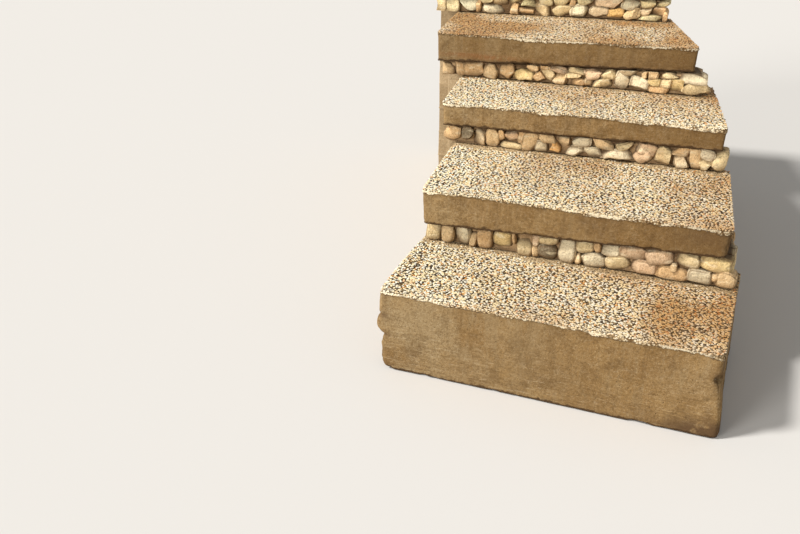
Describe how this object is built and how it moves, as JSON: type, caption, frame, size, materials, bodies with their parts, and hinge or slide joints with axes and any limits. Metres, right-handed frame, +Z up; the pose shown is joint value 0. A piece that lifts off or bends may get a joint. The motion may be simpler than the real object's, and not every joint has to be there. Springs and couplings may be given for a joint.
{
  "type": "concrete garden steps",
  "caption": "Short bending flight of cast concrete slab steps with washed pebble treads, each laid on mortared river cobbles over a footing.",
  "frame": {"origin": "centre of the bounding box in plan, on the floor", "axes": "+X to the right along the bottom step's front, +Y up the flight, square to that front, +Z up"},
  "size_m": [1.4684, 2.059, 1.005],
  "materials": {
    "cast_concrete": "board-cast concrete, weathered tan grey",
    "washed_pebbles": "exposed aggregate, small round pebbles in pale mortar",
    "river_cobbles": "rounded river stones, cream to tan",
    "bedding_mortar": "rough mortar",
    "footing_concrete": "rough cast concrete"
  },
  "bodies": {
    "root": {"back_cobbles_5": "river_cobbles", "footing_2": "footing_concrete", "footing_3": "footing_concrete", "footing_4": "footing_concrete", "footing_5": "footing_concrete", "front_cobbles_2": "river_cobbles", "front_cobbles_3": "river_cobbles", "front_cobbles_4": "river_cobbles", "front_cobbles_5": "river_cobbles", "left_cobbles_2": "river_cobbles", "left_cobbles_3": "river_cobbles", "left_cobbles_4": "river_cobbles", "left_cobbles_5": "river_cobbles", "mortar_fill_2": "bedding_mortar", "mortar_fill_3": "bedding_mortar", "mortar_fill_4": "bedding_mortar", "mortar_fill_5": "bedding_mortar", "pebble_topping_1": "washed_pebbles", "pebble_topping_2": "washed_pebbles", "pebble_topping_3": "washed_pebbles", "pebble_topping_4": "washed_pebbles", "pebble_topping_5": "washed_pebbles", "right_cobbles_2": "river_cobbles", "right_cobbles_3": "river_cobbles", "right_cobbles_4": "river_cobbles", "right_cobbles_5": "river_cobbles", "tread_slab_1": "cast_concrete", "tread_slab_2": "cast_concrete", "tread_slab_3": "cast_concrete", "tread_slab_4": "cast_concrete", "tread_slab_5": "cast_concrete"}
  },
  "joints": []
}
